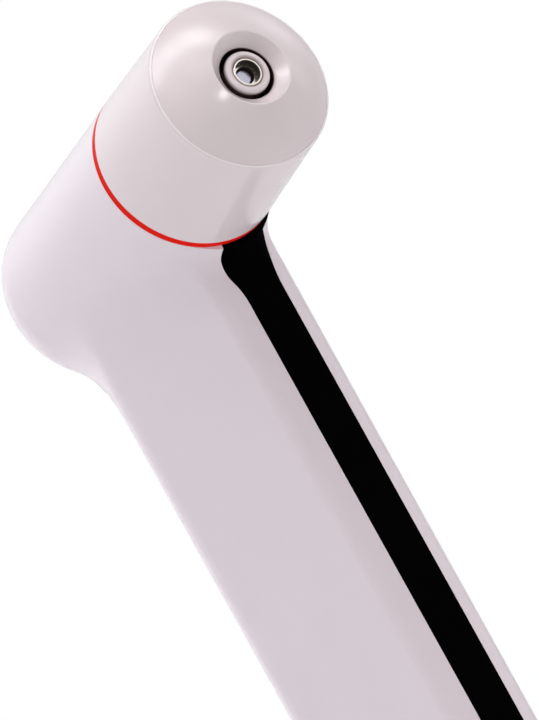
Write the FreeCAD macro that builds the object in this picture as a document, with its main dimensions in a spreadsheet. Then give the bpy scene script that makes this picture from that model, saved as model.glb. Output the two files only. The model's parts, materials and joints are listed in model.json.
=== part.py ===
import FreeCAD, Part
import math
import os

import Sketcher

# Reusable prophy angle: a rotary head on a slim grip that pushes onto a motor.
# Millimetres. Origin at the mouth of the motor coupling, +Z up the grip towards the head,
# the nose faces -Y. Outside, the model is symmetric about X = 0 but for the inlay's thin arm.
# Spindle parts are drawn in their own frame: local Z runs along the spindle towards the
# nose, and local Z = 0 is the middle of the red ring.

DIMS = {
    # overall form
    "ring_height": 84.0,         # red ring's centre above the coupling mouth
    "ring_forward": 9.4,         # red ring's centre in front of the grip's axis
    "head_tilt": 15.0,           # spindle above the horizontal, degrees
    "ring_width": 0.8,
    "ring_recess": 0.04,
    # head barrel and nose collar
    "barrel_radius": 8.7,        # at the red ring
    "barrel_swell": 0.15,        # how much wider the barrel is at its rear
    "barrel_straight": 23.3,     # ring to where the rear rounding starts
    "barrel_rounding": 5.0,
    "shell_wall": 1.5,
    "rear_wall": 2.0,
    "nose_rim_radius": 8.45,
    "nose_rim_depth": 14.06,     # rim ahead of the ring
    "nose_edge": 0.25,
    "dome_height": 3.02,
    "dome_radius": 12.5,
    "recess_radius": 3.6,
    "recess_depth": 1.22,
    "recess_edge_width": 0.15,
    "recess_edge_depth": 0.04,
    "nose_bore": 2.55,
    "spigot_length": 4.0,
    "spigot_wall": 1.3,
    "spigot_gap": 0.05,
    # grip section
    "band_half": 1.9,            # half width of the flat band that holds the inlay
    "band_forward": 0.83,        # band ahead of the ring's centre
    "ridge_half": 4.1,
    "ridge_back": 1.03,          # ridges behind the band
    "back_half": 8.6,
    "back_depth": 19.43,         # rear corners behind the band
    "back_crown": 1.2,
    "corner_rounding": 3.0,
    "ridge_rounding": 1.8,
    "band_rounding": 1.5,
    "neck_front": 4.2,           # blend of grip into barrel, under the band
    "neck_side": 6.0,            # at the ridges
    "neck_rear": 24.0,           # and at the back
    "grip_rise": 5.5,            # grip's section ends this far below the ring's centre
    # inlay
    "inlay_depth": 0.8,
    "inlay_gap": 0.03,
    "inlay_bottom": 21.0,
    "inlay_half": 1.98,
    "inlay_flare": 2.62,         # half width where it opens out below the ring
    "inlay_flare_height": 9.4,   # of that place, below the ring's centre
    "inlay_flare_length": 4.6,
    "inlay_top_half": 2.25,
    "inlay_reach": 12.0,         # how far ahead of the band its outline is cut
    "tail_reach": 3.9,           # the thin arm beside the ring ends this far to the side
    "tail_depth": 0.25,
    # round end of the grip
    "end_radius": 10.2,
    "end_straight": 17.0,
    "end_taper": 10.0,
    "end_core_radius": 4.6,      # where the round end vanishes inside the wedge
    "end_spread": 13.7,          # radius that clears the wedge's rear corners
    "end_gap": 0.6,              # height of the seal between shell and coupling flange
    "end_edge": 0.4,
    # motor coupling
    "socket_radius": 7.75,
    "socket_depth": 14.0,
    "socket_step": 6.9,
    "coupling_radius": 8.6,
    "flange_thickness": 1.8,
    "flange_radius": 9.9,
    "web_bottom": 15.0,
    "web_top": 18.0,
    "latch_height": 7.0,
    "latch_width": 1.2,
    "latch_depth": 0.5,
    # drive tube and its bushes
    "tube_radius": 4.6,
    "tube_bore": 3.7,
    "tube_bottom": 15.2,
    "bush_length": 4.0,
    "running_gap": 0.05,
    "seat_gap": 0.02,
    "axial_gap": 0.05,
    "edge_break": 0.3,
    "fine_edge": 0.06,
    "washer_thickness": 0.4,
    "clip_thickness": 0.6,
    "circlip_width": 1.2,
    "circlip_opening": 1.0,
    "spacer_wall": 0.9,
    "nut_flats": 11.0,
    "nut_height": 2.4,
    "nut_room": 6.85,            # radius of the space that the nut turns in
    # drive shaft, dog and spring
    "shaft_radius": 1.5,
    "shaft_tip_radius": 1.1,
    "shaft_tip_rise": 1.6,       # above the pinion's wide end
    "shaft_stop_gap": 0.2,       # left under the shaft when the dog is pushed right in
    "spring_seat_height": 24.2,
    "spring_seat_thickness": 1.0,
    "spring_seat_radius": 2.7,
    "spring_radius": 2.1,
    "spring_wire": 0.25,
    "spring_turns": 5.0,
    "dog_radius": 2.7,
    "dog_bottom": 14.2,
    "dog_slot": 1.2,             # depth of the slot between the two jaws
    "dog_slot_width": 1.6,
    "dog_floor": 0.8,
    "dog_height": 5.3,
    "dog_travel": 1.5,
    "dog_pin_radius": 0.45,
    "dog_pin_height": 18.7,
    # bevel gears
    "pinion_teeth": 12.0,
    "gear_teeth": 18.0,
    "gear_module": 0.55,
    "gear_face": 2.2,
    "gear_backlash": 0.10,
    "pressure_angle": 24.0,
    "addendum": 0.8,             # in modules
    "dedendum": 1.05,            # in modules
    "gear_back": 0.9,
    "pinion_back": 0.3,
    "pinion_hub_radius": 2.6,
    "pinion_hub_length": 1.4,
    "pinion_hub_gap": 0.2,
    "gear_hub_radius": 2.8,
    "gear_pin_radius": 0.5,
    "gear_pin_offset": 2.6,      # pin behind the gear's back face
    # spindle
    "spindle_radius": 1.5,
    "spindle_neck": 1.1,
    "spindle_tip": 0.72,
    "spindle_end_gap": 0.2,
    "spindle_groove": 0.25,
    "spindle_clip_radius": 2.7,
    "rear_bush_radius": 3.5,
    "rear_bush_length": 3.6,
    "rear_boss_wall": 1.2,
    "front_bush_radius": 3.0,
    "front_bush_length": 4.6,
    "front_bush_start": 5.65,
    "front_flange": 0.7,
    "front_flange_radius": 3.9,
    "front_boss_radius": 4.6,
    "seal_thickness": 0.8,
    "seal_lip": 0.4,
    "button_radius": 2.16,
    "button_sunk": 0.72,         # button's front behind the top of the dome
    "button_length": 4.4,
    "button_edge": 0.45,
    "button_grip": 1.0,          # length that sits on the spindle's full diameter
    "insert_radius": 1.376,
    "insert_length": 2.08,
    "insert_sunk": 0.12,         # insert's front behind the button's front
    "button_lip": 0.3,           # rounding where the button's face turns in to the insert
    "insert_bore": 0.88,
    "cup_socket_radius": 1.19,
    "cup_socket_depth": 0.75,
    "tip_sunk": 1.06,            # spindle's end behind the insert's front
}

doc = FreeCAD.newDocument("prophy_angle")
sheet = doc.addObject("Spreadsheet::Sheet", "Dims")
for row, (alias, number) in enumerate(DIMS.items(), start=1):
    sheet.set("A%d" % row, alias)
    sheet.set("B%d" % row, str(number))
    sheet.setAlias("B%d" % row, alias)
doc.recompute()


class Size:
    """A size that carries its spreadsheet formula together with its present value."""

    def __init__(self, formula, value):
        self.formula = formula
        self.value = value

    def __add__(self, other):
        other = as_size(other)
        return Size("(%s + %s)" % (self.formula, other.formula), self.value + other.value)

    def __sub__(self, other):
        other = as_size(other)
        return Size("(%s - %s)" % (self.formula, other.formula), self.value - other.value)

    def __mul__(self, other):
        other = as_size(other)
        return Size("(%s * %s)" % (self.formula, other.formula), self.value * other.value)

    def __truediv__(self, other):
        other = as_size(other)
        return Size("(%s / %s)" % (self.formula, other.formula), self.value / other.value)

    def __neg__(self):
        return Size("(-1 * %s)" % self.formula, -self.value)

    def __radd__(self, other):
        return as_size(other) + self

    def __rsub__(self, other):
        return as_size(other) - self

    def __rmul__(self, other):
        return as_size(other) * self


def as_size(number):
    return number if isinstance(number, Size) else Size(repr(float(number)), float(number))


def dim(alias):
    return Size("Dims.%s" % alias, float(sheet.get(alias)))


def sin_of(angle):
    return Size("sin(%s)" % angle.formula, math.sin(math.radians(angle.value)))


def cos_of(angle):
    return Size("cos(%s)" % angle.formula, math.cos(math.radians(angle.value)))


def tan_of(angle):
    return Size("tan(%s)" % angle.formula, math.tan(math.radians(angle.value)))


def root_of(number):
    return Size("sqrt(%s)" % number.formula, math.sqrt(number.value))


def bind(thing, path, size):
    thing.setExpression(path, size.formula)


# ---------------------------------------------------------------- sketches and solids

def arc_through(start, end, radius):
    """The minor arc from start to end; a positive radius turns left, a negative one right."""
    chord = end - start
    middle = start + chord * 0.5
    left = FreeCAD.Vector(-chord.y, chord.x, 0).normalize()
    sag = math.sqrt(radius * radius - chord.Length ** 2 / 4)
    centre = middle + left * math.copysign(sag, radius)
    first, last = (start, end) if radius > 0 else (end, start)
    angles = [math.atan2(point.y - centre.y, point.x - centre.x) for point in (first, last)]
    circle = Part.Circle(centre, FreeCAD.Vector(0, 0, 1), abs(radius))
    return Part.ArcOfCircle(circle, angles[0], angles[1])


def pin_corner(sketch, edge, end, axis, size):
    """Tie one coordinate of an edge's end to the sheet."""
    across = -2 if axis == "X" else -1
    if abs(size.value) < 1e-9:
        sketch.addConstraint(Sketcher.Constraint("PointOnObject", edge, end, across))
        return
    index = sketch.addConstraint(Sketcher.Constraint("Distance" + axis, edge, end, size.value))
    bind(sketch, "Constraints[%d]" % index, size)


def draw_outline(sketch, corners):
    """Close an outline of (x, y) corners. A third entry bends the line that ends there."""
    corners = [tuple(as_size(entry) for entry in corner) for corner in corners]
    places = [FreeCAD.Vector(corner[0].value, corner[1].value, 0) for corner in corners]
    ends = []
    for i, corner in enumerate(corners):
        start = places[i - 1]
        if len(corner) == 3:
            edge = sketch.addGeometry(arc_through(start, places[i], corner[2].value))
            index = sketch.addConstraint(
                Sketcher.Constraint("Radius", edge, abs(corner[2].value)))
            sized = corner[2] if corner[2].value > 0 else -corner[2]
            bind(sketch, "Constraints[%d]" % index, sized)
            ends.append((edge, 1, 2) if corner[2].value > 0 else (edge, 2, 1))
        else:
            edge = sketch.addGeometry(Part.LineSegment(start, places[i]))
            ends.append((edge, 1, 2))
    for i, (edge, _, last) in enumerate(ends):
        after, first, _ = ends[(i + 1) % len(ends)]
        sketch.addConstraint(Sketcher.Constraint("Coincident", edge, last, after, first))
        pin_corner(sketch, edge, last, "X", corners[i][0])
        pin_corner(sketch, edge, last, "Y", corners[i][1])


def origin_plane(body, role):
    return next(plane for plane in body.Origin.OriginFeatures if plane.Role == role)


def body_sketch(body, name, role, corners):
    sketch = body.newObject("Sketcher::SketchObject", name)
    sketch.AttachmentSupport = (origin_plane(body, role), [""])
    sketch.MapMode = "FlatFace"
    draw_outline(sketch, corners)
    return sketch


def new_body(name, on_spindle=False):
    body = doc.addObject("PartDesign::Body", name)
    body.Label = name
    if on_spindle:
        put_on_spindle(body)
    return body


def put_on_spindle(thing):
    """Turn local Z onto the spindle, with the red ring's centre at the origin."""
    tilt = dim("head_tilt")
    thing.Placement = FreeCAD.Placement(
        FreeCAD.Vector(0, -dim("ring_forward").value, dim("ring_height").value),
        FreeCAD.Rotation(FreeCAD.Vector(1, 0, 0), 90 - tilt.value))
    bind(thing, ".Placement.Base.y", -dim("ring_forward"))
    bind(thing, ".Placement.Base.z", dim("ring_height"))
    bind(thing, ".Placement.Rotation.Angle", 90 - tilt)


def turned(name, corners, on_spindle=False):
    """A turned piece: an outline of (radius, height) corners spun about local Z."""
    body = new_body(name, on_spindle)
    sketch = body_sketch(body, name + "_outline", "XZ_Plane", corners)
    spin = body.newObject("PartDesign::Revolution", name + "_turning")
    spin.Profile = sketch
    spin.ReferenceAxis = (sketch, ["V_Axis"])
    spin.Angle = 360
    doc.recompute()
    return body


def cut_through(body, name, role, corners):
    """Cut an outline right through the body, both ways from one of its origin planes."""
    before = body.Shape.Volume
    sketch = body_sketch(body, name + "_outline", role, corners)
    pocket = body.newObject("PartDesign::Pocket", name)
    pocket.Profile = sketch
    pocket.Type = "ThroughAll"
    pocket.Midplane = True
    doc.recompute()
    if not body.Shape.Volume < before - 1e-6:
        raise RuntimeError(name + " cuts nothing")


def ring_outline(inner, outer, bottom, top):
    return [(inner, bottom), (outer, bottom), (outer, top), (inner, top)]


def solid(kind, name, **links):
    thing = doc.addObject(kind, name)
    for key, value in links.items():
        setattr(thing, key, value)
    return thing


def revolved(name, corners, on_spindle=False):
    """A turned solid outside any body, for the shell's booleans."""
    sketch = doc.addObject("Sketcher::SketchObject", name + "_outline")
    sketch.Placement = FreeCAD.Placement(
        FreeCAD.Vector(0, 0, 0), FreeCAD.Rotation(FreeCAD.Vector(1, 0, 0), 90))
    draw_outline(sketch, corners)
    spin = solid("Part::Revolution", name, Source=sketch, Axis=(0, 0, 1), Angle=360, Solid=True)
    if on_spindle:
        put_on_spindle(spin)
    doc.recompute()
    return spin


def extruded(name, corners, direction, bottom, length):
    """A prism outside any body. direction is the world axis that it runs along."""
    sketch = doc.addObject("Sketcher::SketchObject", name + "_outline")
    turns = {"Z": FreeCAD.Rotation(),
             "Y": FreeCAD.Rotation(FreeCAD.Vector(1, 0, 0), 90),
             "X": FreeCAD.Rotation(FreeCAD.Vector(1, 1, 1), 120)}
    sketch.Placement = FreeCAD.Placement(FreeCAD.Vector(0, 0, 0), turns[direction])
    draw_outline(sketch, corners)
    prism = solid("Part::Extrusion", name, Base=sketch, DirMode="Custom",
                  Dir={"X": (1, 0, 0), "Y": (0, 1, 0), "Z": (0, 0, 1)}[direction], Solid=True)
    bind(prism, "LengthFwd", length)
    bind(prism, ".Placement.Base." + direction.lower(), bottom)
    doc.recompute()
    return prism


def rounded(name, base, chosen):
    """Round the edges of base given as (edge number, radius at its start, and at its end)."""
    fillet = solid("Part::Fillet", name, Base=base)
    fillet.Edges = chosen
    doc.recompute()
    return fillet


# ------------------------------------------------------------------ shared places

spindle_frame = FreeCAD.Placement(
    FreeCAD.Vector(0, -dim("ring_forward").value, dim("ring_height").value),
    FreeCAD.Rotation(FreeCAD.Vector(1, 0, 0), 90 - dim("head_tilt").value))
half_ring = dim("ring_width") / 2
band_y = -(dim("ring_forward") + dim("band_forward"))
barrel_bore = dim("barrel_radius") - dim("shell_wall")
barrel_rear = dim("barrel_radius") + dim("barrel_swell")
barrel_end = dim("barrel_straight") + dim("barrel_rounding")
pocket_end = barrel_end - dim("rear_wall")
apex_height = dim("ring_height") - dim("ring_forward") * tan_of(dim("head_tilt"))
apex_back = dim("ring_forward") / cos_of(dim("head_tilt"))
shell_bottom = dim("flange_thickness") + dim("end_gap")
taper_top = dim("end_straight") + dim("end_taper")
beyond = dim("ring_height") * 2  # clear of the whole model
HALF_TURN = 1e-4                 # added to a half circle's radius, so its arc is the minor one

shaft_angle = math.radians(90 - dim("head_tilt").value)
teeth_ratio = dim("gear_teeth").value / dim("pinion_teeth").value
pinion_cone = math.atan2(math.sin(shaft_angle), teeth_ratio + math.cos(shaft_angle))
gear_cone = shaft_angle - pinion_cone
cone_distance = dim("gear_module").value * dim("gear_teeth").value / 2 / math.sin(gear_cone)
# how far the gears' wide ends stand from the apex, along each axis
shaft_sine = sin_of(90 - dim("head_tilt"))
shaft_cosine = cos_of(90 - dim("head_tilt"))
gear_share = dim("gear_teeth") / dim("pinion_teeth")
gear_reach = dim("gear_module") * dim("pinion_teeth") / 2 * (
    (1 + gear_share * shaft_cosine) / shaft_sine)
pinion_reach = dim("gear_module") * dim("pinion_teeth") / 2 * (
    (gear_share + shaft_cosine) / shaft_sine)

pinion_bottom = apex_height - pinion_reach
pinion_hub_end = pinion_bottom - dim("pinion_hub_length")
tube_top = pinion_hub_end - dim("pinion_hub_gap")
upper_bush_top = tube_top - dim("washer_thickness") + dim("axial_gap")
gear_back_face = -(apex_back + gear_reach + dim("gear_back"))
rear_bush_front = -(pocket_end - dim("rear_bush_length"))
dome_top = dim("nose_rim_depth") + dim("dome_height")
button_front = dome_top - dim("button_sunk")
insert_front = button_front - dim("insert_sunk")
seal_front = (dim("front_bush_start") + dim("front_flange") + dim("front_bush_length")
              + dim("seal_thickness") + dim("axial_gap"))


# ------------------------------------------------------------------ moulded shell

def grip_section():
    """The wedge section of the grip: narrow band in front, crowned back."""
    back = band_y + dim("back_depth")
    ridge = band_y + dim("ridge_back")
    back_x = dim("back_half")
    crown = dim("back_crown")
    crown_radius = (back_x * back_x + crown * crown) / (2 * crown)
    return [(-back_x, back, crown_radius), (-dim("ridge_half"), ridge),
            (-dim("band_half"), band_y), (dim("band_half"), band_y),
            (dim("ridge_half"), ridge), (back_x, back)]


def upright_edges(shape, places):
    """Numbers of the vertical edges that stand at these (x, y) places, either side of X = 0."""
    found = []
    for number, edge in enumerate(shape.Edges, start=1):
        box = edge.BoundBox
        if box.XLength > 1e-3 or box.YLength > 1e-3:
            continue
        for x, y, radius in places:
            if abs(abs(box.XMin) - x.value) < 1e-3 and abs(box.YMin - y.value) < 1e-3:
                found.append((number, radius.value, radius.value))
    return found


def neck_edges(shape, grip, head):
    """The edges where grip meets head, each corner of the grip with its own blend radius."""
    spindle = spindle_frame.Rotation.multVec(FreeCAD.Vector(0, 0, 1))
    skins = [thing.Shape.Shells[0] for thing in (grip, head)]

    def behind(point):
        return -(point - spindle_frame.Base).dot(spindle)

    def radius_at(point):
        if behind(point) > (dim("back_depth") / 2).value:
            return dim("neck_rear").value
        if abs(point.x) > ((dim("band_half") + dim("ridge_half")) / 2).value:
            return dim("neck_side").value
        return dim("neck_front").value

    chosen = []
    for number, edge in enumerate(shape.Edges, start=1):
        first, last = edge.FirstParameter, edge.LastParameter
        middle = edge.valueAt((first + last) / 2)
        if behind(middle) < 0 or edge.BoundBox.ZLength < 1e-6:
            continue
        if all(skin.distToShape(Part.Vertex(middle))[0] < 1e-3 for skin in skins):
            chosen.append((number, radius_at(edge.valueAt(first)), radius_at(edge.valueAt(last))))
    return chosen


def barrel_outline(ahead):
    """Barrel about the spindle with its rounded rear, run on ahead of the ring."""
    swell = dim("barrel_swell") / dim("barrel_straight")
    rounding = dim("barrel_rounding")
    return [(0, ahead), (0, -barrel_end), (barrel_rear - rounding, -barrel_end),
            (barrel_rear, -dim("barrel_straight"), rounding),
            (dim("barrel_radius") - ahead * swell, ahead)]


def head_space_outline():
    """The barrel's bore with the rear bush's boss standing in it."""
    bush = dim("rear_bush_radius") + dim("seat_gap")
    boss = bush + dim("rear_boss_wall")
    rounding = dim("barrel_rounding") - dim("shell_wall")
    deep = pocket_end - dim("barrel_straight")
    corner = barrel_bore - rounding + root_of(rounding * rounding - deep * deep)
    return [(0, 1), (0, -pocket_end), (bush, -pocket_end), (bush, rear_bush_front),
            (boss, rear_bush_front), (boss, -pocket_end), (corner, -pocket_end),
            (barrel_bore, -dim("barrel_straight"), rounding), (barrel_bore, 1)]


def inlay_outline(gap, overrun):
    """Front view of the inlay: straight sides that flare below the ring, round bottom."""
    half = dim("inlay_half") + gap
    bottom = dim("inlay_bottom") - gap
    flare_z = dim("ring_height") - dim("inlay_flare_height")
    flare = dim("inlay_flare") + gap
    top_z = dim("ring_height") - dim("barrel_radius") * cos_of(dim("head_tilt"))
    top = dim("inlay_top_half") + gap
    low = flare_z - dim("inlay_flare_length")
    spread = flare - half
    bend = (dim("inlay_flare_length") * dim("inlay_flare_length") + spread * spread) / (
        4 * spread)
    middle = half + spread / 2
    middle_z = low + dim("inlay_flare_length") / 2
    return [(half, bottom + half, half + HALF_TURN), (half, low), (middle, middle_z, -bend),
            (flare, flare_z, bend), (top, top_z, dim("inlay_top_half")),
            (top, top_z + overrun), (-top, top_z + overrun), (-top, top_z),
            (-flare, flare_z, dim("inlay_top_half")), (-middle, middle_z, bend),
            (-half, low, -bend), (-half, bottom + half)]


def inlay_slab(depth):
    """Side view of the space ahead of the inlay's back, which follows the blend to the ring."""
    tilt = dim("head_tilt")
    neck = dim("neck_front")
    inner = band_y + depth
    under = dim("barrel_radius") - depth
    # where the band's plane meets the barrel's underside
    corner_z = (dim("ring_height") - under / cos_of(tilt)
                + (dim("ring_forward") + inner) * -tan_of(tilt))
    leg = (neck + depth) * tan_of(Size("(45 - %s / 2)" % tilt.formula, 45 - tilt.value / 2))
    ahead = leg * cos_of(tilt)
    rise = leg * sin_of(tilt)
    far = inner - dim("inlay_reach")
    low = dim("inlay_bottom") / 2
    far_z = corner_z + rise + (inner - ahead - far) * tan_of(tilt)
    return [(far, low), (inner, low), (inner, corner_z - leg),
            (inner - ahead, corner_z + rise, neck + depth),
            (far, far_z)]


def inlay_tail(name, gap):
    """The inlay's thin arm, which follows the ring round to one side only."""
    inner = dim("barrel_radius") - dim("inlay_depth") - gap
    arm = revolved(name + "_ring", ring_outline(
        inner, dim("barrel_radius") * 2, -half_ring - dim("tail_depth") - gap, as_size(0)),
        on_spindle=True)
    reach = dim("tail_reach") + gap
    side = extruded(name + "_side", [
        (0, dim("ring_height") / 2), (reach, dim("ring_height") / 2),
        (reach, dim("ring_height")), (0, dim("ring_height"))], "Y", -dim("ring_height"), beyond)
    return solid("Part::Common", name, Base=arm, Tool=side)


barrel = revolved("barrel_form", barrel_outline(dim("barrel_radius")), on_spindle=True)
prism_bottom = dim("end_straight") / 2
grip_prism = extruded("grip_prism", grip_section(), "Z", prism_bottom,
                      dim("ring_height") - dim("grip_rise") - prism_bottom)
corner_places = [
    (dim("back_half"), band_y + dim("back_depth"), dim("corner_rounding")),
    (dim("ridge_half"), band_y + dim("ridge_back"), dim("ridge_rounding")),
    (dim("band_half"), band_y, dim("band_rounding")),
]
grip = rounded("grip_form", grip_prism, upright_edges(grip_prism.Shape, corner_places))
joined = solid("Part::Fuse", "barrel_and_grip", Base=barrel, Tool=grip, Refine=True)
doc.recompute()
blended = rounded("blended_form", joined, neck_edges(joined.Shape, grip, barrel))

end_bulge = dim("end_taper") * 3
trimming = revolved("end_trimming", [
    (0, 0), (dim("end_radius"), 0), (dim("end_radius"), dim("end_straight")),
    (dim("end_spread"), taper_top, -end_bulge),
    (beyond, taper_top), (beyond, beyond), (0, beyond)])
trimmed = solid("Part::Common", "trimmed_form", Base=blended, Tool=trimming)
round_end = revolved("round_end", [
    (0, shell_bottom), (dim("end_radius") - dim("end_edge"), shell_bottom),
    (dim("end_radius"), shell_bottom + dim("end_edge")),
    (dim("end_radius"), dim("end_straight")),
    (dim("end_core_radius"), taper_top + 2, end_bulge), (0, taper_top + 2)])
outer_form = solid("Part::Fuse", "outer_form", Base=trimmed, Tool=round_end, Refine=True)
doc.recompute()

ring_plane_cut = revolved("ahead_of_ring", [
    (0, -half_ring), (dim("barrel_radius") * 2, -half_ring),
    (dim("barrel_radius") * 2, dim("barrel_radius") * 2), (0, dim("barrel_radius") * 2)],
    on_spindle=True)
below_shell = revolved("below_shell", [
    (0, -1), (beyond, -1), (beyond, shell_bottom), (0, shell_bottom)])
head_space = revolved("head_space", head_space_outline(), on_spindle=True)
bay_section = solid("Part::Offset2D", "grip_bay_section", Source=grip_prism.Base,
                    Join="Intersection")
bind(bay_section, "Value", -dim("shell_wall"))
grip_bay = solid("Part::Extrusion", "grip_bay", Base=bay_section, DirMode="Custom",
                 Dir=(0, 0, 1), Solid=True)
bind(grip_bay, "LengthFwd", dim("ring_height") - taper_top)
bind(grip_bay, ".Placement.Base.z", taper_top)
doc.recompute()
grip_space = solid("Part::Cut", "grip_space", Base=grip_bay, Tool=barrel)
sleeve_hole = dim("coupling_radius") + dim("seat_gap")
nut_top = dim("web_top") + dim("axial_gap") + dim("nut_height")
tube_hole = dim("tube_radius") + dim("seat_gap")
shaft_way = revolved("shaft_way", [
    (0, 0), (sleeve_hole, 0), (sleeve_hole, dim("web_top") + dim("seat_gap")),
    (dim("nut_room"), dim("web_top") + dim("seat_gap")),
    (dim("nut_room"), nut_top + dim("axial_gap")),
    (tube_hole, nut_top + dim("axial_gap")), (tube_hole, apex_height), (0, apex_height)])
overrun = dim("ring_height") / 4
inlay_bed = extruded("inlay_bed_front", inlay_outline(dim("inlay_gap"), overrun), "Y",
                     -dim("ring_height"), beyond)
bed_slab = extruded("inlay_bed_side", inlay_slab(dim("inlay_depth") + dim("inlay_gap")), "X",
                    -dim("barrel_radius"), dim("barrel_radius") * 2)
bed = solid("Part::Common", "inlay_bed", Base=inlay_bed, Tool=bed_slab)
tail_bed = inlay_tail("inlay_tail_bed", dim("inlay_gap"))
hollows = solid("Part::MultiFuse", "hollows", Shapes=[
    ring_plane_cut, below_shell, head_space, grip_space, shaft_way, bed, tail_bed])
shell = solid("Part::Cut", "body_shell", Base=outer_form, Tool=hollows)
doc.recompute()

inlay_front = extruded("inlay_front", inlay_outline(as_size(0), overrun), "Y",
                       -dim("ring_height"), beyond)
inlay_side = extruded("inlay_side", inlay_slab(dim("inlay_depth")), "X",
                      -dim("barrel_radius"), dim("barrel_radius") * 2)
inlay_strip = solid("Part::Common", "inlay_strip", Base=inlay_front, Tool=inlay_side)
tail = inlay_tail("inlay_tail", as_size(0))
inlay_block = solid("Part::MultiFuse", "inlay_block", Shapes=[inlay_strip, tail])
inlay_skin = solid("Part::Common", "inlay_skin", Base=outer_form, Tool=inlay_block)
inlay = solid("Part::Cut", "grip_inlay", Base=inlay_skin, Tool=ring_plane_cut)
doc.recompute()

# ------------------------------------------------------------------ head trims

spigot = barrel_bore - dim("spigot_gap")
spigot_bore = spigot - dim("spigot_wall")
collar_bore = dim("nose_rim_radius") - dim("shell_wall")
bush_seat = dim("front_bush_radius") + dim("seat_gap")
flange_front = dim("front_bush_start") + dim("front_flange")
edge = dim("nose_edge")
collar = turned("nose_collar", [
    (spigot_bore, -dim("spigot_length")),
    (spigot - dim("edge_break"), -dim("spigot_length")),
    (spigot, -dim("spigot_length") + dim("edge_break")),
    (spigot, half_ring),
    (dim("barrel_radius"), half_ring),
    (dim("nose_rim_radius"), dim("nose_rim_depth") - edge),
    (dim("nose_rim_radius") - edge, dim("nose_rim_depth"), edge),
    (dim("recess_radius") + dim("recess_edge_width"), dome_top, dim("dome_radius")),
    (dim("recess_radius"), dome_top - dim("recess_edge_depth")),
    (dim("nose_bore"), dome_top - dim("recess_depth")),
    (dim("nose_bore"), seal_front),
    (bush_seat, seal_front),
    (bush_seat, flange_front),
    (dim("front_boss_radius"), flange_front),
    (dim("front_boss_radius"), dim("nose_rim_depth")),
    (collar_bore, dim("nose_rim_depth") - dim("shell_wall")),
    (collar_bore, dim("shell_wall") + half_ring),
    (spigot_bore, half_ring),
], on_spindle=True)

accent = turned("accent_ring", ring_outline(
    spigot + dim("spigot_gap"), dim("barrel_radius") - dim("ring_recess"),
    -half_ring, half_ring), on_spindle=True)

# ------------------------------------------------------------------ spindle and its bearings

shaft_fit = dim("spindle_radius") + dim("running_gap")
rear_bush = turned("rear_bush", ring_outline(
    shaft_fit, dim("rear_bush_radius"), -pocket_end, rear_bush_front), on_spindle=True)
washer_back = rear_bush_front + dim("axial_gap")
washer_front = washer_back + dim("washer_thickness")
thrust_washer = turned("thrust_washer", ring_outline(
    shaft_fit, dim("rear_bush_radius"), washer_back, washer_front), on_spindle=True)
bush_front = flange_front + dim("front_bush_length")
front_bush = turned("front_bush", [
    (shaft_fit, dim("front_bush_start")),
    (dim("front_flange_radius"), dim("front_bush_start")),
    (dim("front_flange_radius"), flange_front),
    (dim("front_bush_radius"), flange_front),
    (dim("front_bush_radius"), bush_front),
    (shaft_fit, bush_front)], on_spindle=True)
nose_seal = turned("nose_seal", [
    (shaft_fit, bush_front + dim("axial_gap") / 2),
    (dim("front_bush_radius"), bush_front + dim("axial_gap") / 2),
    (dim("front_bush_radius"), seal_front - dim("axial_gap") / 2),
    (shaft_fit + dim("seal_lip") * 2, seal_front - dim("axial_gap") / 2),
    (shaft_fit + dim("seal_lip"), seal_front - dim("seal_lip")),
    (shaft_fit, seal_front - dim("seal_lip"))], on_spindle=True)

button_back = button_front - dim("button_length")
neck_start = button_back + dim("button_grip")
insert_back = insert_front - dim("insert_length")
insert_seat = dim("insert_radius") + dim("seat_gap")
tip_front = insert_front - dim("tip_sunk")
clip_groove = dim("spindle_radius") - dim("spindle_groove")
spindle_back = -pocket_end + dim("spindle_end_gap")
edge_break = dim("edge_break")
fine_edge = dim("fine_edge")
clip_back = dim("front_bush_start") - dim("axial_gap") - dim("clip_thickness")
clip_front = dim("front_bush_start") - dim("axial_gap")
spindle_shaft = turned("spindle_shaft", [
    (0, spindle_back), (dim("spindle_radius") - edge_break, spindle_back),
    (dim("spindle_radius"), spindle_back + edge_break),
    (dim("spindle_radius"), clip_back), (clip_groove, clip_back),
    (clip_groove, clip_front), (dim("spindle_radius"), clip_front),
    (dim("spindle_radius"), neck_start), (dim("spindle_neck"), neck_start),
    (dim("spindle_neck"), insert_back - dim("seat_gap")),
    (dim("spindle_tip"), insert_back - dim("seat_gap")),
    (dim("spindle_tip"), tip_front - fine_edge), (dim("spindle_tip") - fine_edge, tip_front),
    (0, tip_front)], on_spindle=True)
spindle_clip = turned("spindle_clip", ring_outline(
    clip_groove + dim("seat_gap"), dim("spindle_clip_radius"),
    clip_back + dim("seat_gap"), clip_front - dim("seat_gap")), on_spindle=True)
cup_button = turned("cup_button", [
    (dim("spindle_radius") + dim("seat_gap"), button_back),
    (dim("button_radius") - edge_break, button_back),
    (dim("button_radius"), button_back + edge_break),
    (dim("button_radius"), button_front - dim("button_edge")),
    (dim("button_radius") - dim("button_edge"), button_front, dim("button_edge")),
    (insert_seat + dim("button_lip"), button_front),
    (insert_seat, button_front - dim("button_lip"), dim("button_lip")),
    (insert_seat, insert_back),
    (dim("spindle_neck") + dim("seat_gap"), insert_back),
    (dim("spindle_neck") + dim("seat_gap"), neck_start + dim("seat_gap")),
    (dim("spindle_radius") + dim("seat_gap"), neck_start + dim("seat_gap")),
], on_spindle=True)
socket_bottom = insert_front - dim("cup_socket_depth")
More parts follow.
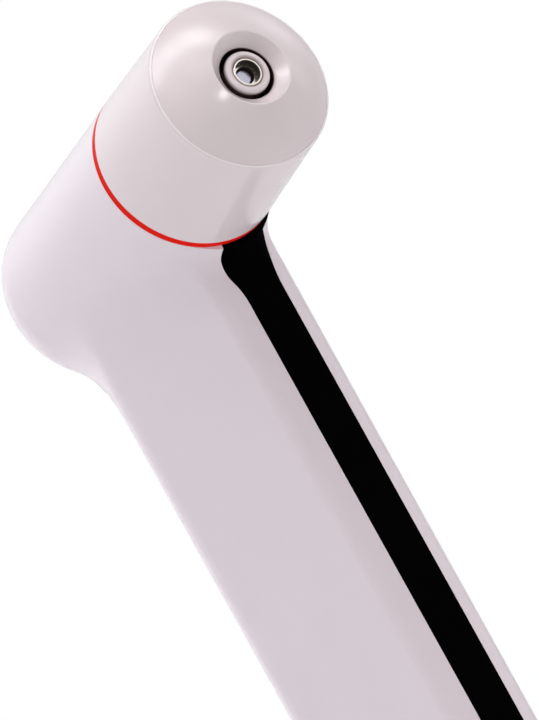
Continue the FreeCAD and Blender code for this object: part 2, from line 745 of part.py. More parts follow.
socket_insert = turned("socket_insert", [
    (dim("insert_bore"), insert_back + dim("seat_gap")),
    (dim("insert_radius"), insert_back + dim("seat_gap")),
    (dim("insert_radius"), insert_front - fine_edge),
    (dim("insert_radius") - fine_edge, insert_front),
    (dim("cup_socket_radius"), insert_front),
    (dim("cup_socket_radius"), socket_bottom),
    (dim("insert_bore"), socket_bottom)], on_spindle=True)


# ------------------------------------------------------------------ bevel gears

def tooth_half_angle(cone, teeth, thin, at_cone):
    """Half a tooth's angle about the axis where a spherical involute flank meets a cone."""
    pressure = math.radians(dim("pressure_angle").value)
    base = math.asin(math.cos(pressure) * math.sin(cone))

    def involute(angle):
        angle = max(angle, base)
        spread = math.acos(min(1.0, math.cos(angle) / math.cos(base))) / math.sin(base)
        return spread - math.acos(min(1.0, math.tan(base) / math.tan(angle)))

    return math.pi / (2 * teeth) - thin + involute(cone) - involute(at_cone)


def bevel_teeth(teeth, cone, face_width, phase):
    """A ring of teeth whose edges all run to the apex at the origin, opening towards -Z."""
    module = dim("gear_module").value
    tip = cone + math.atan(dim("addendum").value * module / cone_distance)
    root = cone - math.atan(dim("dedendum").value * module / cone_distance)
    pitch_radius = cone_distance * math.sin(cone)
    thin = dim("gear_backlash").value / 4 / pitch_radius
    flank = [root, (root + cone) / 2, cone, (cone + tip) / 2, tip]
    wide = cone_distance * math.cos(cone)
    narrow = (cone_distance - face_width) * math.cos(cone)
    directions = []
    for tooth in range(int(teeth)):
        middle = phase + tooth * 2 * math.pi / teeth
        halves = [tooth_half_angle(cone, teeth, thin, angle) for angle in flank]
        rising = [(angle, middle - half) for angle, half in zip(flank, halves)]
        falling = [(angle, middle + half) for angle, half in zip(flank, halves)]
        directions += rising + falling[::-1]

    def outline(height):
        return [FreeCAD.Vector(height * math.tan(angle) * math.cos(turn),
                               height * math.tan(angle) * math.sin(turn), -height)
                for angle, turn in directions]

    near, far = outline(narrow), outline(wide)
    count = len(directions)
    faces = [Part.Face(Part.makePolygon(near + near[:1])),
             Part.Face(Part.makePolygon(far + far[:1]))]
    for i in range(count):
        after = (i + 1) % count
        faces.append(Part.Face(Part.makePolygon(
            [near[i], near[after], far[after], far[i], near[i]])))
    return Part.Solid(Part.Shell(faces)), root, wide


def bevel_gear(name, teeth, cone, phase, bore, hub_radius, back, hub_end, placement):
    """Teeth, a backing disc under their wide ends and a hub, bored through."""
    ring, root, wide = bevel_teeth(teeth, cone, dim("gear_face").value, phase)
    if ring.Volume < 0:
        ring.reverse()
    down = FreeCAD.Vector(0, 0, -1)
    disc = Part.makeCone(wide * math.tan(root), wide * math.tan(root) - back * 0.5, back,
                         FreeCAD.Vector(0, 0, -wide), down)
    hub = Part.makeCylinder(hub_radius, hub_end - wide, FreeCAD.Vector(0, 0, -wide), down)
    hole = Part.makeCylinder(bore, hub_end + 1, FreeCAD.Vector(0, 0, 0), down)
    gear = doc.addObject("Part::Feature", name)
    gear.Shape = ring.fuse([disc, hub]).cut(hole).removeSplitter()
    gear.Placement = placement
    return gear


apex_point = FreeCAD.Vector(0, 0, apex_height.value)
pinion = bevel_gear(
    "pinion", dim("pinion_teeth").value, pinion_cone, math.pi / 2,
    (dim("shaft_tip_radius") + dim("seat_gap")).value, dim("pinion_hub_radius").value,
    dim("pinion_back").value, (pinion_reach + dim("pinion_hub_length")).value,
    FreeCAD.Placement(apex_point, FreeCAD.Rotation()))
gear_pin_place = gear_back_face - dim("gear_pin_offset")
gear_hub_back = washer_front + dim("axial_gap")
spindle_gear = bevel_gear(
    "spindle_gear", dim("gear_teeth").value, gear_cone,
    -math.pi / 2 + math.pi / dim("gear_teeth").value,
    (dim("spindle_radius") + dim("seat_gap")).value, dim("gear_hub_radius").value,
    dim("gear_back").value, (-gear_hub_back - apex_back).value,
    FreeCAD.Placement(spindle_frame.multVec(FreeCAD.Vector(0, 0, -apex_back.value)),
                      spindle_frame.Rotation))
pin_gap = (dim("gear_pin_radius") + dim("seat_gap")).value
pin_hole = Part.makeCylinder(
    pin_gap, 4 * dim("gear_hub_radius").value,
    FreeCAD.Vector(-2 * dim("gear_hub_radius").value, 0, gear_pin_place.value),
    FreeCAD.Vector(1, 0, 0))
pin_hole.transformShape(spindle_frame.toMatrix())
spindle_gear.Shape = spindle_gear.Shape.cut(pin_hole)


def cross_hole(body, name, radius, height, low=0.0):
    """Drill across a turned body along X, as a round hole or, with low, a slot that long."""
    slot = as_size(low)
    bend = radius + HALF_TURN
    corners = [(radius, height - slot, bend), (radius, height),
               (-radius, height, bend), (-radius, height - slot)]
    if slot.value < 1e-9:
        corners = [(radius, height, bend), (-radius, height, bend)]
    cut_through(body, name, "YZ_Plane", corners)


cross_hole(spindle_shaft, "pin_hole_in_spindle", dim("gear_pin_radius") + dim("seat_gap"),
           gear_pin_place)
gear_pin = doc.addObject("Part::Cylinder", "gear_pin")
bind(gear_pin, "Radius", dim("gear_pin_radius"))
bind(gear_pin, "Height", 2 * dim("gear_hub_radius"))
gear_pin.Placement = spindle_frame.multiply(FreeCAD.Placement(
    FreeCAD.Vector(-dim("gear_hub_radius").value, 0, gear_pin_place.value),
    FreeCAD.Rotation(FreeCAD.Vector(0, 1, 0), 90)))

# ------------------------------------------------------------------ drive line in the grip

drive_fit = dim("shaft_radius") + dim("running_gap")
tube_fit = dim("tube_bore") - dim("seat_gap")
shaft_tube = turned("shaft_tube", ring_outline(
    dim("tube_bore"), dim("tube_radius"), dim("tube_bottom"), tube_top))
upper_bush = turned("upper_bush", ring_outline(
    drive_fit, tube_fit, upper_bush_top - dim("bush_length"), upper_bush_top))
pinion_washer = turned("pinion_washer", ring_outline(
    drive_fit, tube_fit - dim("edge_break"), upper_bush_top + dim("axial_gap"),
    upper_bush_top + dim("axial_gap") + dim("washer_thickness")))
seat_top = dim("spring_seat_height") + dim("spring_seat_thickness")
clip_bottom = seat_top + dim("axial_gap")
lower_bush_bottom = clip_bottom + dim("clip_thickness") + dim("axial_gap")
bush_circlip = turned("bush_circlip", ring_outline(
    dim("tube_bore") - dim("circlip_width"), dim("tube_bore") - dim("axial_gap"),
    clip_bottom, clip_bottom + dim("clip_thickness")))
circlip_side = dim("circlip_opening") / 2
cut_through(bush_circlip, "circlip_gap", "XY_Plane", [
    (0, -circlip_side), (dim("tube_bore"), -circlip_side),
    (dim("tube_bore"), circlip_side), (0, circlip_side)])
lower_bush = turned("lower_bush", ring_outline(
    drive_fit, tube_fit, lower_bush_bottom, lower_bush_bottom + dim("bush_length")))
bush_spacer = turned("bush_spacer", ring_outline(
    tube_fit - dim("spacer_wall"), tube_fit, lower_bush_bottom + dim("bush_length") + dim("axial_gap"),
    upper_bush_top - dim("bush_length") - dim("axial_gap")))

dog_bore_floor = dim("dog_bottom") + dim("dog_slot") + dim("dog_floor")
dog_top = dim("dog_bottom") + dim("dog_height")
shaft_bottom = dog_bore_floor + dim("dog_travel") + dim("shaft_stop_gap")
shoulder = pinion_hub_end - dim("axial_gap")
shaft_top = pinion_bottom + dim("shaft_tip_rise")
drive_shaft = turned("drive_shaft", [
    (0, shaft_bottom), (dim("shaft_radius") - edge_break, shaft_bottom),
    (dim("shaft_radius"), shaft_bottom + edge_break),
    (dim("shaft_radius"), dim("spring_seat_height")),
    (dim("spring_seat_radius"), dim("spring_seat_height")),
    (dim("spring_seat_radius"), seat_top), (dim("shaft_radius"), seat_top),
    (dim("shaft_radius"), shoulder), (dim("shaft_tip_radius"), shoulder),
    (dim("shaft_tip_radius"), shaft_top), (0, shaft_top)])
pin_slot = dim("dog_pin_radius") + dim("running_gap")
cross_hole(drive_shaft, "dog_pin_slot", pin_slot, dim("dog_pin_height") + dim("dog_travel"),
           dim("dog_travel"))

drive_dog = turned("drive_dog", [
    (0, dim("dog_bottom")), (dim("dog_radius") - edge_break, dim("dog_bottom")),
    (dim("dog_radius"), dim("dog_bottom") + edge_break), (dim("dog_radius"), dog_top),
    (drive_fit, dog_top), (drive_fit, dog_bore_floor), (0, dog_bore_floor)])
slot_side = dim("dog_slot_width") / 2
slot_top = dim("dog_bottom") + dim("dog_slot")
cut_through(drive_dog, "jaw_slot", "YZ_Plane", [
    (slot_side, 0), (slot_side, slot_top), (-slot_side, slot_top), (-slot_side, 0)])
cross_hole(drive_dog, "dog_pin_hole", dim("dog_pin_radius") + dim("seat_gap"),
           dim("dog_pin_height"))
dog_pin = doc.addObject("Part::Cylinder", "dog_pin")
dog_pin.Placement = FreeCAD.Placement(
    FreeCAD.Vector(-dim("dog_radius").value, 0, dim("dog_pin_height").value),
    FreeCAD.Rotation(FreeCAD.Vector(0, 1, 0), 90))
bind(dog_pin, "Radius", dim("dog_pin_radius"))
bind(dog_pin, "Height", 2 * dim("dog_radius"))
bind(dog_pin, ".Placement.Base.x", -dim("dog_radius"))
bind(dog_pin, ".Placement.Base.z", dim("dog_pin_height"))

spring_bottom = dog_top + dim("spring_wire") + dim("axial_gap")
spring_top = dim("spring_seat_height") - dim("spring_wire") - dim("axial_gap")
helix = doc.addObject("Part::Helix", "spring_path")
bind(helix, "Radius", dim("spring_radius"))
bind(helix, "Height", spring_top - spring_bottom)
bind(helix, "Pitch", (spring_top - spring_bottom) / dim("spring_turns"))
bind(helix, ".Placement.Base.z", spring_bottom)
wire_section = doc.addObject("Part::Circle", "spring_section")
wire_section.Placement = FreeCAD.Placement(
    FreeCAD.Vector(dim("spring_radius").value, 0, spring_bottom.value),
    FreeCAD.Rotation(FreeCAD.Vector(1, 0, 0), 90))
bind(wire_section, "Radius", dim("spring_wire"))
bind(wire_section, ".Placement.Base.x", dim("spring_radius"))
bind(wire_section, ".Placement.Base.z", spring_bottom)
spring = solid("Part::Sweep", "dog_spring", Sections=[wire_section],
               Spine=(helix, ["Edge1"]), Solid=True, Frenet=True)
doc.recompute()

# ------------------------------------------------------------------ motor coupling

coupling = turned("coupling_sleeve", [
    (dim("socket_radius"), 0), (dim("flange_radius") - edge_break, 0),
    (dim("flange_radius"), edge_break), (dim("flange_radius"), dim("flange_thickness")),
    (dim("coupling_radius"), dim("flange_thickness")),
    (dim("coupling_radius"), dim("web_top")),
    (dim("tube_radius") + dim("seat_gap"), dim("web_top")),
    (dim("tube_radius") + dim("seat_gap"), dim("web_bottom")),
    (dim("socket_step"), dim("web_bottom")), (dim("socket_step"), dim("socket_depth")),
    (dim("socket_radius"), dim("socket_depth")),
    (dim("socket_radius"), dim("latch_height") + dim("latch_width")),
    (dim("socket_radius") + dim("latch_depth"), dim("latch_height") + dim("latch_width")),
    (dim("socket_radius") + dim("latch_depth"), dim("latch_height")),
    (dim("socket_radius"), dim("latch_height"))])
sleeve_seal = turned("sleeve_seal", ring_outline(
    sleeve_hole, dim("end_radius") - dim("end_edge"), dim("flange_thickness"), shell_bottom))

tube_nut = new_body("tube_nut")
nut_corner = dim("nut_flats") / cos_of(as_size(30)) / 2
nut_side = dim("nut_flats") / 2
nut_sketch = body_sketch(tube_nut, "tube_nut_outline", "XY_Plane", [
    (nut_side, nut_corner / 2), (0, nut_corner), (-nut_side, nut_corner / 2),
    (-nut_side, -nut_corner / 2), (0, -nut_corner), (nut_side, -nut_corner / 2)])
nut_pad = tube_nut.newObject("PartDesign::Pad", "tube_nut_pad")
nut_pad.Profile = nut_sketch
bind(nut_pad, "Length", dim("nut_height"))
bind(tube_nut, ".Placement.Base.z", dim("web_top") + dim("axial_gap"))
doc.recompute()
nut_hole_sketch = tube_nut.newObject("Sketcher::SketchObject", "nut_hole_outline")
nut_hole_sketch.AttachmentSupport = (origin_plane(tube_nut, "XY_Plane"), [""])
nut_hole_sketch.MapMode = "FlatFace"
nut_hole_sketch.addGeometry(Part.Circle(FreeCAD.Vector(), FreeCAD.Vector(0, 0, 1),
                                        tube_hole.value))
nut_hole_sketch.addConstraint(Sketcher.Constraint("Coincident", 0, 3, -1, 1))
hole_size = nut_hole_sketch.addConstraint(Sketcher.Constraint("Radius", 0, tube_hole.value))
bind(nut_hole_sketch, "Constraints[%d]" % hole_size, tube_hole)
nut_bore = tube_nut.newObject("PartDesign::Pocket", "nut_bore")
nut_bore.Profile = nut_hole_sketch
nut_bore.Type = "ThroughAll"
nut_bore.Midplane = True
doc.recompute()

# ------------------------------------------------------------------ check and write

PIECES = [
    shell, collar, accent, inlay, rear_bush, thrust_washer, front_bush, nose_seal,
    shaft_tube, upper_bush, lower_bush, bush_spacer, bush_circlip, pinion_washer,
    coupling, sleeve_seal, tube_nut,
    spindle_shaft, spindle_gear, gear_pin, spindle_clip, cup_button, socket_insert,
    drive_shaft, pinion, spring, drive_dog, dog_pin,
]
doc.recompute()
for thing in doc.Objects:
    if "Invalid" in thing.State or "Error" in thing.State:
        raise RuntimeError("%s failed: %s" % (thing.Name, thing.State))
for piece in PIECES:
    shape = piece.Shape
    if shape.isNull() or not shape.isValid() or len(shape.Solids) < 1:
        raise RuntimeError("%s has no sound solid" % piece.Label)

os.makedirs("parts", exist_ok=True)
for piece in PIECES:
    piece.Shape.exportStep("parts/%s.step" % piece.Label)
    print("%-16s %8.2f mm3" % (piece.Label, piece.Shape.Volume))
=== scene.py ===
import json
import math

import bpy
from mathutils import Matrix, Vector


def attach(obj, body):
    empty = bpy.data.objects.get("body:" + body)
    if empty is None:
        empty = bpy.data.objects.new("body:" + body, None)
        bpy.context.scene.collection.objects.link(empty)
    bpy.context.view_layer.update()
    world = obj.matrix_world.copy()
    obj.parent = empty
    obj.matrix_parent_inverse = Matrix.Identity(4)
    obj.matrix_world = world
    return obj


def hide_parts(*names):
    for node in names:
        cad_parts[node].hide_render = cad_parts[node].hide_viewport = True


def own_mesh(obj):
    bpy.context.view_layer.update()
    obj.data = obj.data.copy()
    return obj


# Looks for the prophy angle. Metres, in the CAD's own frame: +Z up the grip, nose towards -Y.

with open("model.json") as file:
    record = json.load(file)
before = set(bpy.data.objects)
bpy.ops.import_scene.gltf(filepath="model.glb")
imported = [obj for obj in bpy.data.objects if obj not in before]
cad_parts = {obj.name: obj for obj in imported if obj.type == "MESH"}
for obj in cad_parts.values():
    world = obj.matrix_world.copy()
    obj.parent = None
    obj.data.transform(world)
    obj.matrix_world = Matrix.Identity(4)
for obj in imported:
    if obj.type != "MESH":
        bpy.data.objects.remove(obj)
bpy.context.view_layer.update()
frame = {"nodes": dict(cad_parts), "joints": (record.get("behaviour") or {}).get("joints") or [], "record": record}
nodes = frame["nodes"]
joints = {joint["name"]: joint for joint in frame["joints"]}
scene = bpy.context.scene

RING = Vector(joints["spindle_spin"]["pos_m"])      # middle of the red ring, on the spindle
SPINDLE = Vector(joints["spindle_spin"]["axis"])    # towards the nose, 15 degrees up

# radii about the spindle, and the button's front face along it from the ring
NOSE_BORE = 0.00255
RECESS_EDGE = 0.00368
NOSE_RIM = 0.00832
INSERT_RADIUS = 0.001376
BUTTON_FRONT = 0.01636


# ---------------------------------------------------------------- shader helpers

def new_material(name):
    material = bpy.data.materials.new(name)
    material.use_nodes = True
    tree = material.node_tree
    return material, tree, tree.nodes["Principled BSDF"]


def node(tree, kind, **inputs):
    made = tree.nodes.new(kind)
    for key, value in inputs.items():
        made.inputs[key.replace("_", " ")].default_value = value
    return made


def plug(tree, socket, given):
    """Feed a socket from another one, or set its own value."""
    if isinstance(given, bpy.types.NodeSocket):
        tree.links.new(given, socket)
    else:
        socket.default_value = given


def maths(tree, operation, *given):
    made = tree.nodes.new("ShaderNodeMath")
    made.operation = operation
    for socket, value in zip(made.inputs, given):
        plug(tree, socket, value)
    return made.outputs["Value"]


def vector_maths(tree, operation, *given, scale=None):
    made = tree.nodes.new("ShaderNodeVectorMath")
    made.operation = operation
    for socket, value in zip(made.inputs, given):
        plug(tree, socket, value)
    if scale is not None:
        plug(tree, made.inputs["Scale"], scale)
    return made.outputs["Value" if operation in ("DOT_PRODUCT", "LENGTH") else "Vector"]


def mixed_shader(tree, amount, first, second):
    made = tree.nodes.new("ShaderNodeMixShader")
    for socket, source in zip(made.inputs, (amount, first, second)):
        tree.links.new(source, socket)
    return made.outputs["Shader"]


def object_place(tree):
    return tree.nodes.new("ShaderNodeTexCoord").outputs["Object"]


def noise(tree, scale, detail=3.0, stretch=None):
    """Object-space noise. stretch squeezes the pattern along the axes, for grain and lay."""
    made = node(tree, "ShaderNodeTexNoise", Scale=scale, Detail=detail)
    source = object_place(tree)
    if stretch:
        mapping = node(tree, "ShaderNodeMapping", Scale=stretch)
        tree.links.new(source, mapping.inputs["Vector"])
        source = mapping.outputs["Vector"]
    tree.links.new(source, made.inputs["Vector"])
    return made.outputs["Fac"]


def spread(tree, value, low, high, start=0.3, end=0.7):
    """Carry start to end over to low to high, and no further. Noise seldom leaves 0.3 to 0.7."""
    made = node(tree, "ShaderNodeMapRange", From_Min=start, From_Max=end, To_Min=low, To_Max=high)
    tree.links.new(value, made.inputs["Value"])
    return made.outputs["Result"]


def blend_colour(tree, amount, first, second):
    """Mix two colours, each a socket or three numbers."""
    made = tree.nodes.new("ShaderNodeMix")
    made.data_type = "RGBA"
    for name, colour in (("A", first), ("B", second)):
        is_socket = isinstance(colour, bpy.types.NodeSocket)
        plug(tree, made.inputs[name], colour if is_socket else (*colour, 1))
    tree.links.new(amount, made.inputs["Factor"])
    return made.outputs["Result"]


def bumped(tree, shader, height, strength, distance):
    bump = node(tree, "ShaderNodeBump", Strength=strength, Distance=distance)
    tree.links.new(height, bump.inputs["Height"])
    tree.links.new(bump.outputs["Normal"], shader.inputs["Normal"])


def about_spindle(tree):
    """How far a point is along the spindle's line from the ring, and how far out from it."""
    offset = vector_maths(tree, "SUBTRACT", object_place(tree), RING)
    along = vector_maths(tree, "DOT_PRODUCT", offset, SPINDLE)
    out = vector_maths(tree, "LENGTH", vector_maths(tree, "CROSS_PRODUCT", offset, SPINDLE))
    return along, out


def paint_light_or_shade(tree, shader, amount, colour):
    """Painted shade or highlight: blend the material's own colour towards another one where amount nears 1."""
    base = shader.inputs["Base Color"]
    own = base.links[0].from_socket
    tree.links.new(blend_colour(tree, amount, own, colour), base)


# ---------------------------------------------------------------- kinds of material

DRIFT_SCALE, POLISH_SCALE, LAY_SCALE = 90.0, 420.0, 1500.0
SHELL_SKIN, RED_SKIN, DARK_SKIN = 9000.0, 7000.0, 5200.0    # scale of a plastic's fine grain


def plastic(name, colour, shade, rough, grain, height, specular=0.5):
    """Moulded plastic: a slow drift of colour, a patchy polish and a very fine skin."""
    material, tree, shader = new_material(name)
    drift = spread(tree, noise(tree, DRIFT_SCALE), 0.0, 1.0)
    tree.links.new(blend_colour(tree, drift, colour, shade), shader.inputs["Base Color"])
    polish = spread(tree, noise(tree, POLISH_SCALE, 4.0), *rough)
    tree.links.new(polish, shader.inputs["Roughness"])
    bumped(tree, shader, noise(tree, grain, 2.0), 0.2, height)
    shader.inputs["Specular IOR Level"].default_value = specular
    return material, tree, shader


def shell_plastic(name, colour):
    """The shell's glossy, faintly lilac white, with a little light let in under the skin."""
    material, tree, shader = plastic(name, colour, [share * 0.975 for share in colour],
                                     (0.085, 0.12), SHELL_SKIN, 1.5e-6)
    shader.inputs["Subsurface Weight"].default_value = 0.06
    shader.inputs["Subsurface Radius"].default_value = (0.9, 0.8, 0.85)
    shader.inputs["Subsurface Scale"].default_value = 0.0006
    return material, tree, shader


ROUND = (1.0, 1.0, 60.0)                    # marks that run round the grip's axis
SINTERED = (8.0, 8.0, 8.0)                  # an even grain


def metal(name, colour, shade, rough, lay=ROUND, height=2e-6):
    """Turned or drawn metal: fine marks that run across lay."""
    material, tree, shader = new_material(name)
    marks = noise(tree, LAY_SCALE, 5.0, lay)
    tint = blend_colour(tree, spread(tree, marks, 0.0, 1.0), colour, shade)
    tree.links.new(tint, shader.inputs["Base Color"])
    tree.links.new(spread(tree, marks, *rough), shader.inputs["Roughness"])
    bumped(tree, shader, marks, 0.3, height)
    shader.inputs["Metallic"].default_value = 1.0
    return material, tree, shader


# ---------------------------------------------------------------- the pieces' materials

# painted shade of the gap round the button, also in the nose's bore
PAINTED_GAP_SHADE = (0.055, 0.014, 0.010)           # the brown dark of the gap round the button
# painted shade round the insert, on the button
INSERT_RING_SHADE = (0.16, 0.08, 0.05)
# painted shade on the walls of the insert's bore
BORE_WALL_SHADE = (0.03, 0.018, 0.011)


def nose_white():
    """The collar: a painted highlight, a thin light line, on each of its two rims, and painted shade of the gap in
    its bore.
    """
    # painted shade: a darker, warmer white than the shell's, for the duller light on the nose
    material, tree, shader = shell_plastic("nose_white", (0.78, 0.715, 0.725))
    _, out = about_spindle(tree)
    # painted highlights: a thin lighter line along the recess edge and along the outer rim
    for radius, half_width, colour in ((RECESS_EDGE, 0.00004, (0.86, 0.82, 0.83)),
                                       (NOSE_RIM, 0.00007, (0.93, 0.91, 0.92))):
        paint_light_or_shade(tree, shader, maths(tree, "COMPARE", out, radius, half_width), colour)
    # painted shade: the bore takes the gap's dark brown
    bore = spread(tree, out, 1.0, 0.0, NOSE_BORE, NOSE_BORE + 0.00008)
    paint_light_or_shade(tree, shader, bore, PAINTED_GAP_SHADE)
    return material


def button_white():
    """The button: painted shade of the gap on its side, and a brown ring of painted shade round the insert."""
    material, tree, shader = plastic("button_white", (0.86, 0.81, 0.83), (0.83, 0.78, 0.80),
                                     (0.20, 0.28), SHELL_SKIN, 2e-6)
    along, out = about_spindle(tree)
    # painted shade: the button's side darkens towards the gap
    side = spread(tree, along, 0.95, 0.0, BUTTON_FRONT - 0.00052, BUTTON_FRONT - 0.00012)
    paint_light_or_shade(tree, shader, side, PAINTED_GAP_SHADE)
    # painted shade: a brown ring round the insert, where the button's opening lies in shade
    ring = spread(tree, out, 0.75, 0.0, INSERT_RADIUS + 0.00004, INSERT_RADIUS + 0.00034)
    paint_light_or_shade(tree, shader, ring, INSERT_RING_SHADE)
    return material


def insert_chrome():
    """The insert: its rim and step are polished, and the walls of its bore are dull, with painted shade making
    them dark.
    """
    material, tree, shader = metal("insert_chrome", (1.00, 0.96, 0.90), (0.96, 0.91, 0.84),
                                   (0.16, 0.30))
    normal = tree.nodes.new("ShaderNodeNewGeometry").outputs["True Normal"]
    forward = vector_maths(tree, "DOT_PRODUCT", normal, SPINDLE)
    wall_to_rim = {"start": 0.2, "end": 0.6}
    # painted shade: the bore's walls take a near-black brown
    paint_light_or_shade(tree, shader, spread(tree, forward, 1.0, 0.0, **wall_to_rim), BORE_WALL_SHADE)
    tree.links.new(spread(tree, forward, 0.0, 1.0, **wall_to_rim), shader.inputs["Metallic"])
    rough = shader.inputs["Roughness"]
    dull = spread(tree, forward, 0.6, 0.0, **wall_to_rim)
    tree.links.new(maths(tree, "ADD", rough.links[0].from_socket, dull), rough)
    return material


# name, two colours that drift into each other, and the range of roughness
METALS = (
    ("shaft_steel", (0.56, 0.56, 0.58), (0.48, 0.48, 0.50), (0.16, 0.28)),
    ("spindle_steel", (0.68, 0.67, 0.80), (0.64, 0.63, 0.76), (0.20, 0.30)),
    ("washer_steel", (0.62, 0.62, 0.64), (0.55, 0.55, 0.57), (0.18, 0.30)),
    ("spring_steel", (0.40, 0.40, 0.42), (0.32, 0.32, 0.34), (0.22, 0.34)),
    ("gear_brass", (0.72, 0.52, 0.24), (0.62, 0.44, 0.20), (0.20, 0.32)),
    ("nut_brass", (0.68, 0.50, 0.25), (0.58, 0.42, 0.20), (0.22, 0.34)),
    ("tube_aluminium", (0.66, 0.67, 0.69), (0.58, 0.59, 0.61), (0.25, 0.36)),
    ("sleeve_aluminium", (0.62, 0.63, 0.65), (0.54, 0.55, 0.57), (0.26, 0.38)),
)
materials = {look[0]: metal(*look)[0] for look in METALS}
materials["bush_bronze"] = metal("bush_bronze", (0.50, 0.32, 0.16), (0.38, 0.24, 0.12),
                                 (0.35, 0.5), SINTERED, 6e-6)[0]
materials["insert_chrome"] = insert_chrome()
materials["shell_white"] = shell_plastic("shell_white", (0.80, 0.745, 0.785))[0]
materials["nose_white"] = nose_white()
materials["button_white"] = button_white()
materials["accent_red"] = plastic("accent_red", (0.86, 0.014, 0.005), (0.78, 0.011, 0.004),
                                  (0.30, 0.42), RED_SKIN, 2e-6, specular=0.02)[0]
materials["inlay_black"] = plastic("inlay_black", (0.0008, 0.0008, 0.0008),
                                   (0.0005, 0.0005, 0.0005), (0.65, 0.80), DARK_SKIN, 4e-6,
                                   specular=0.01)[0]
materials["seal_rubber"] = plastic("seal_rubber", (0.016, 0.016, 0.017), (0.010, 0.010, 0.011),
                                   (0.55, 0.70), DARK_SKIN, 5e-6)[0]

# these two nodes look different from the others of their material slot; the collar's darker, warmer white is
# painted shade
OWN_LOOK = {"nose_collar": "nose_white", "spindle_shaft": "spindle_steel"}
for entry in frame["record"]["subparts"]:
    look = OWN_LOOK.get(entry["node"], entry["material_slot"])
    slots = nodes[entry["node"]].data.materials
    slots.clear()
    slots.append(materials[look])


# ---------------------------------------------------------------- the dog's spring

# The spring shortens as the dog slides in; here it is only copied into an object of its own, hung on the drive
# line.
coil = bpy.data.objects.new("dog_spring_coil", nodes["dog_spring"].data.copy())
scene.collection.objects.link(coil)
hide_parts("dog_spring")
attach(coil, "drive_line")
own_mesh(coil)


# ---------------------------------------------------------------- floor

FLOOR_REACH = 1.0                           # from the middle to each side
FLOOR_DROP = 0.0003                         # below the coupling's mouth
FADE_START, FADE_END = 0.10, 0.32           # from the axis


def floor_pale():
    """Pale and matt. To the camera it fades to plain white far out, and is clear from below."""
    material, tree, shader = new_material("floor_pale")
    shade = spread(tree, noise(tree, 6.0), 0.0, 1.0)
    tree.links.new(blend_colour(tree, shade, (0.90, 0.90, 0.90), (0.88, 0.88, 0.885)),
                   shader.inputs["Base Color"])
    shader.inputs["Roughness"].default_value = 0.7
    seen = tree.nodes.new("ShaderNodeLightPath").outputs["Is Camera Ray"]
    reach = vector_maths(tree, "LENGTH", object_place(tree))
    far = spread(tree, reach, 0.0, 1.0, FADE_START, FADE_END)
    below = tree.nodes.new("ShaderNodeNewGeometry").outputs["Backfacing"]
    paper = tree.nodes.new("ShaderNodeEmission").outputs["Emission"]
    clear = tree.nodes.new("ShaderNodeBsdfTransparent").outputs["BSDF"]
    faded = mixed_shader(tree, maths(tree, "MULTIPLY", seen, far), shader.outputs["BSDF"], paper)
    tree.links.new(mixed_shader(tree, maths(tree, "MULTIPLY", seen, below), faded, clear),
                   tree.nodes["Material Output"].inputs["Surface"])
    return material


corners = [(-FLOOR_REACH, -FLOOR_REACH, 0), (FLOOR_REACH, -FLOOR_REACH, 0),
           (FLOOR_REACH, FLOOR_REACH, 0), (-FLOOR_REACH, FLOOR_REACH, 0)]
floor_mesh = bpy.data.meshes.new("floor")
floor_mesh.from_pydata(corners, [], [(0, 1, 2, 3)])
floor_mesh.materials.append(floor_pale())
floor = bpy.data.objects.new("floor", floor_mesh)
floor.location.z = -FLOOR_DROP
scene.collection.objects.link(floor)
floor.visible_glossy = False                # the shell's underside mirrors the surroundings only


# ---------------------------------------------------------------- surroundings

# directions in the row frame, as the camera sees them
AZIMUTH = math.radians(-32.8)
towards = Vector((math.sin(AZIMUTH), -math.cos(AZIMUTH), 0))
right = Vector((0.7366, -0.4770, -0.483))
right = (right - towards * right.dot(towards)).normalized()
up = towards.cross(right)

BACKDROP, SOFTBOX, LAMP = 6, 40, 350        # how sharply a patch of light falls off
SKY = (0.10, 0.095, 0.10)
STUDIO = (0.4, 0.4, 0.4)                    # what polished metal meets all round, besides
WORLD_STRENGTH = 0.94

# Soft round patches: direction as (right, up, towards the camera), fall-off, and colour times
# strength. All but the two lamps began as a least-squares fit of broad lights to the
# photograph's tones, and every colour was then changed one by one.
GLOWS = (
    ((-1, -1, -1), BACKDROP, (0.95, 0.82, 0.93)),
    ((-1, -1, 0), BACKDROP, (0.55, 0.62, 0.66)),
    ((-1, 0, -1), BACKDROP, (0.86, 0.88, 0.88)),
    ((1, 0, -1), BACKDROP, (0.40, 0.38, 0.40)),
    ((0, 0, -1), BACKDROP, (0.16, 0.16, 0.16)),
    ((-0.75, 0.6, 0.3), SOFTBOX, (5.8, 5.7, 6.0)),
    ((-0.5, 0.85, 0.15), SOFTBOX, (5.2, 5.1, 5.2)),
    ((-0.2, 0.8, 0.55), SOFTBOX, (2.0, 1.8, 1.8)),
    ((-0.5, 0.5, 0.7), SOFTBOX, (1.2, 0.9, 0.7)),
    ((-0.17, 0.99, 0), SOFTBOX, (6.2, 6.0, 6.1)),
    ((0.43, 0.61, -0.66), SOFTBOX, (1.2, 1.1, 1.2)),
    ((0.8, 0.5, -0.3), SOFTBOX, (1.5, 1.4, 1.4)),
    ((0.95, 0.2, 0.1), SOFTBOX, (1.1, 0.9, 0.7)),
    ((0.15, 0.42, 0.9), LAMP, (12.0, 11.7, 11.5)),
    ((0.55, 0.77, 0.32), LAMP, (1.2, 1.2, 1.2)),
)

world = bpy.data.worlds.new("studio")
scene.world = world
world.use_nodes = True
tree = world.node_tree
tree.nodes.clear()
outlook = tree.nodes.new("ShaderNodeTexCoord").outputs["Generated"]


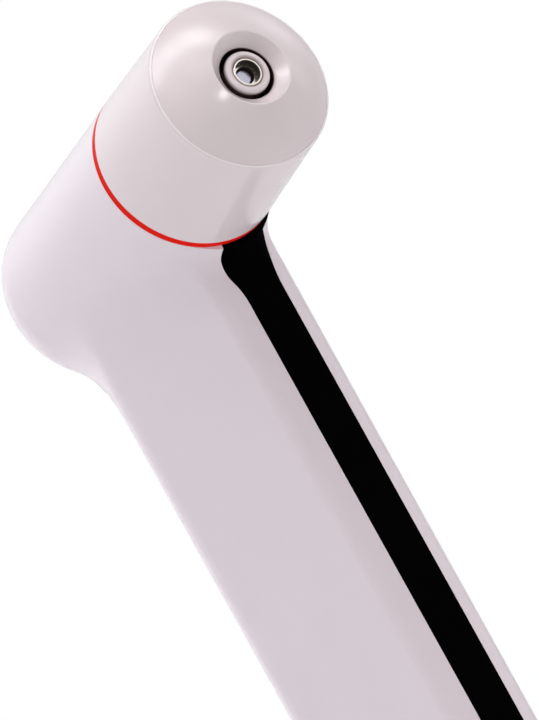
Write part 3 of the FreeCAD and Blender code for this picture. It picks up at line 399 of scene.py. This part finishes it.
def glow(direction, sharpness):
    """How strong a patch is in each direction: 1 in its middle, 0 behind."""
    aim = (right * direction[0] + up * direction[1] + towards * direction[2]).normalized()
    facing = vector_maths(tree, "DOT_PRODUCT", outlook, aim)
    return maths(tree, "POWER", maths(tree, "MAXIMUM", facing, 0), sharpness)


light = SKY
for direction, sharpness, colour in GLOWS:
    patch = vector_maths(tree, "SCALE", colour, scale=glow(direction, sharpness))
    light = vector_maths(tree, "ADD", light, patch)
ray = tree.nodes.new("ShaderNodeLightPath")
studio = vector_maths(tree, "SCALE", STUDIO, scale=ray.outputs["Is Glossy Ray"])
soft = node(tree, "ShaderNodeBackground", Strength=WORLD_STRENGTH)
tree.links.new(vector_maths(tree, "ADD", light, studio), soft.inputs["Color"])
plain = node(tree, "ShaderNodeBackground", Color=(1, 1, 1, 1), Strength=1.0)
output = tree.nodes.new("ShaderNodeOutputWorld")
tree.links.new(mixed_shader(tree, ray.outputs["Is Camera Ray"], soft.outputs["Background"],
                            plain.outputs["Background"]), output.inputs["Surface"])


# ---------------------------------------------------------------- camera

FRAME_HEIGHT = 0.06392                      # what the long side of the picture takes in
LENS = 1200
ROLL = math.radians(0.2)
AIM_RIGHT, AIM_DOWN = 0.007370, 0.017870    # the picture's middle, from the ring's
LEAN_UP, LEAN_LEFT = 0.016, 0.010           # turns the camera by about 1 degree, because the
                                            # lens isn't quite parallel
camera_data = bpy.data.cameras.new("camera")
camera_data.lens = LENS
camera_data.sensor_width = 36
camera_data.clip_start, camera_data.clip_end = 0.1, 10
camera = bpy.data.objects.new("camera", camera_data)
scene.collection.objects.link(camera)
middle = RING + right * AIM_RIGHT - up * AIM_DOWN
backward = (towards + up * LEAN_UP - right * LEAN_LEFT).normalized()
level = right * math.cos(ROLL) - up * math.sin(ROLL)
upward = backward.cross(level).normalized()
across = upward.cross(backward)
distance = FRAME_HEIGHT * LENS / camera_data.sensor_width
turn = Matrix((across, upward, backward)).transposed().to_4x4()
camera.matrix_world = Matrix.Translation(middle + backward * distance) @ turn
scene.camera = camera
scene.view_settings.view_transform = "Standard"
